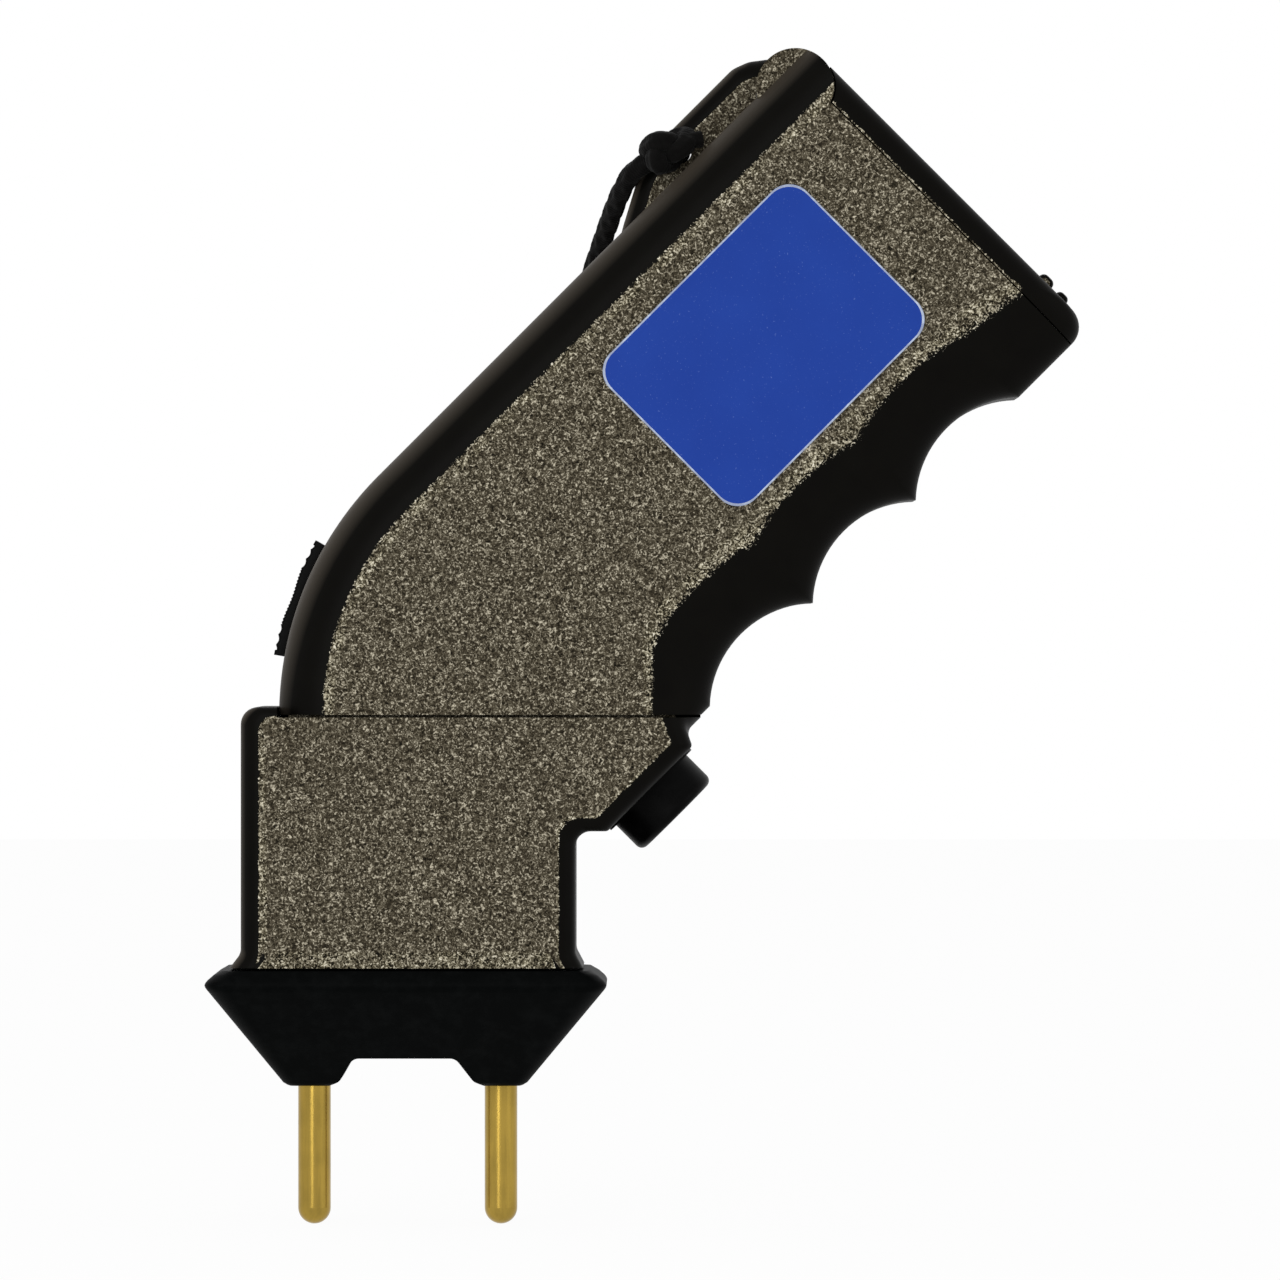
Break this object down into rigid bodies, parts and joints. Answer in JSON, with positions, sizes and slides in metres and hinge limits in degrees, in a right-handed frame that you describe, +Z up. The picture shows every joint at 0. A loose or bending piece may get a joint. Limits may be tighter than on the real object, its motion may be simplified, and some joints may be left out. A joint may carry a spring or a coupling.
{
  "type": "cattle prodder",
  "caption": "Small one-hand cattle prodder: angled grip with finger grooves, push trigger, thumb safety slider, hinged battery door, wrist strap and brass electrodes.",
  "frame": {"origin": "middle of the hand grip, on the prodder's mid-plane", "axes": "+Z up with the electrodes pointing down, +X towards the fingers, +Y from the label side to the far side; the grip's axis runs from the head up to the butt at 45 degrees between +X and +Z"},
  "size_m": [0.1265, 0.0518, 0.1706],
  "materials": {
    "shell_plastic": "fine leather-like grain, satin",
    "nose_plastic": "smooth, satin",
    "button_plastic": "smooth",
    "electrode_brass": "turned, worn satin",
    "contact_brass": "bright strip",
    "plated_steel": "zinc plated",
    "tinned_metal": "tinned",
    "label_film": "smooth printed film, plain blue",
    "battery_case": "plain painted can",
    "clip_plastic": "smooth",
    "red_insulation": "smooth",
    "black_insulation": "smooth",
    "foam": "soft foam",
    "phenolic": "pressed board",
    "board_laminate": "lacquered",
    "ferrite": "sintered",
    "winding_copper": "lacquered wire",
    "component_black": "moulded",
    "capacitor_red": "dipped",
    "capacitor_blue": "sleeved can",
    "ceramic": "glazed",
    "resistor_body": "lacquered",
    "strap_braid": "braided cord"
  },
  "bodies": {
    "housing": {"grip_shell_near": "shell_plastic", "grip_shell_far": "shell_plastic", "head_shell_near": "shell_plastic", "head_shell_far": "shell_plastic", "nose_block": "nose_plastic", "electrode_left": "electrode_brass", "electrode_right": "electrode_brass", "electrode_nuts": "plated_steel", "solder_tags": "tinned_metal", "door_hinge_pin": "plated_steel", "battery": "battery_case", "battery_clip": "clip_plastic", "battery_lead_red": "red_insulation", "battery_lead_black": "black_insulation", "label": "label_film", "trigger_bezel": "button_plastic", "trigger_spring": "plated_steel", "trigger_switch_base": "phenolic", "trigger_contacts": "contact_brass", "trigger_leads": "tinned_metal", "safety_switch_base": "phenolic", "safety_contacts": "contact_brass", "safety_leads": "tinned_metal", "circuit_board": "board_laminate", "transformer_base": "component_black", "transformer_core": "ferrite", "transformer_winding": "winding_copper", "switching_transistor": "component_black", "storage_capacitor": "capacitor_red", "filter_capacitor": "capacitor_blue", "spark_gap": "ceramic", "resistors": "resistor_body", "diodes": "component_black", "output_coil_case": "component_black", "output_coil_winding": "winding_copper", "output_coil_core": "ferrite", "coil_leads": "tinned_metal", "output_lead_left": "red_insulation", "output_lead_right": "red_insulation", "grip_screws": "plated_steel", "head_screws": "plated_steel", "neck_screws": "plated_steel", "board_screws": "plated_steel", "wrist_strap": "strap_braid", "strap_knot": "strap_braid"},
    "trigger": {"trigger_button": "button_plastic", "trigger_contact_disc": "contact_brass"},
    "thumb_slider": {"safety_slider": "button_plastic", "slider_wiper": "contact_brass"},
    "door": {"battery_door": "shell_plastic", "door_foam_pad": "foam"}
  },
  "joints": [
    {"name": "trigger_press", "type": "slide", "parent": "housing", "child": "trigger", "axis": [-0.7071, 0, 0.7071], "range_m": [0, 0.003], "stiffness_N_per_m": 400, "springref_m": -0.001, "deforming": ["trigger_spring"]},
    {"name": "safety_slide", "type": "hinge", "parent": "housing", "child": "thumb_slider", "pos_m": [-0.0152, 0, -0.04419], "axis": [0, -1, 0], "range_deg": [0, 4.5]},
    {"name": "battery_door_swing", "type": "hinge", "parent": "housing", "child": "door", "pos_m": [0.01032, 0, 0.04681], "axis": [0, -1, 0], "range_deg": [0, 110]}
  ]
}
